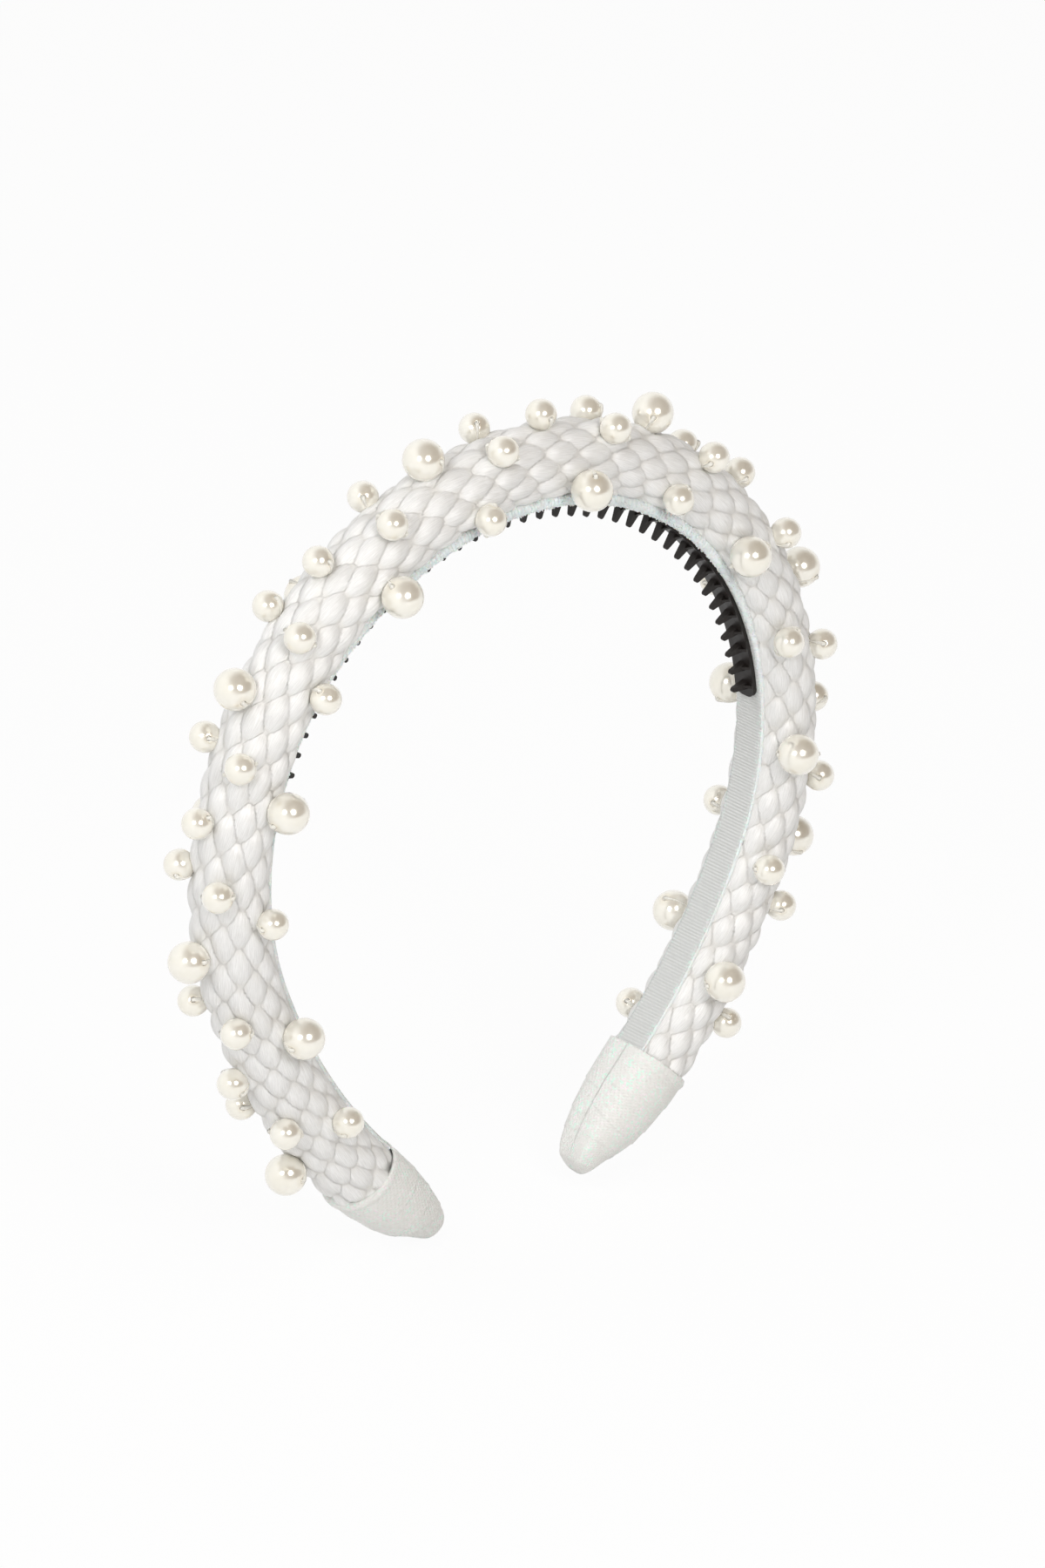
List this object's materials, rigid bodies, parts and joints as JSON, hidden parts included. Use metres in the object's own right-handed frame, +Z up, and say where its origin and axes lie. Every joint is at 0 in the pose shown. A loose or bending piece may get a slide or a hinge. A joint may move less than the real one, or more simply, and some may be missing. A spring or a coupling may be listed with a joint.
{
  "type": "headband",
  "caption": "Padded plaited headband with rows of sewn pearl beads, a lined inner face with a comb strip, and wrapped tapered tips.",
  "frame": {"origin": "crown point of the lining's inner face, on the band's middle line, where the band rests on top of the head", "axes": "+Z up out of the crown, +X from the wearer-facing left tip to the right tip across the arch, -Y towards the front edge of the band"},
  "size_m": [0.1614, 0.0284, 0.1656],
  "materials": {
    "plait": "satin",
    "ribbon": "matte",
    "wrap": "satin with fine glitter",
    "pearl": "pearl gloss",
    "comb": "semi-gloss",
    "core": "matte",
    "wadding": "soft foam"
  },
  "bodies": {
    "root": {"back_edge_pearls_large": "pearl", "back_edge_pearls_small": "pearl", "back_shoulder_pearls_small": "pearl", "braided_cover": "plait", "centre_pearls_large": "pearl", "centre_pearls_small": "pearl", "comb_strip": "comb", "core_band": "core", "foam_pad": "wadding", "front_edge_pearls_large": "pearl", "front_edge_pearls_small": "pearl", "front_shoulder_pearls_small": "pearl", "left_tip_wrap": "wrap", "lining_ribbon": "ribbon", "right_tip_wrap": "wrap"}
  },
  "joints": []
}
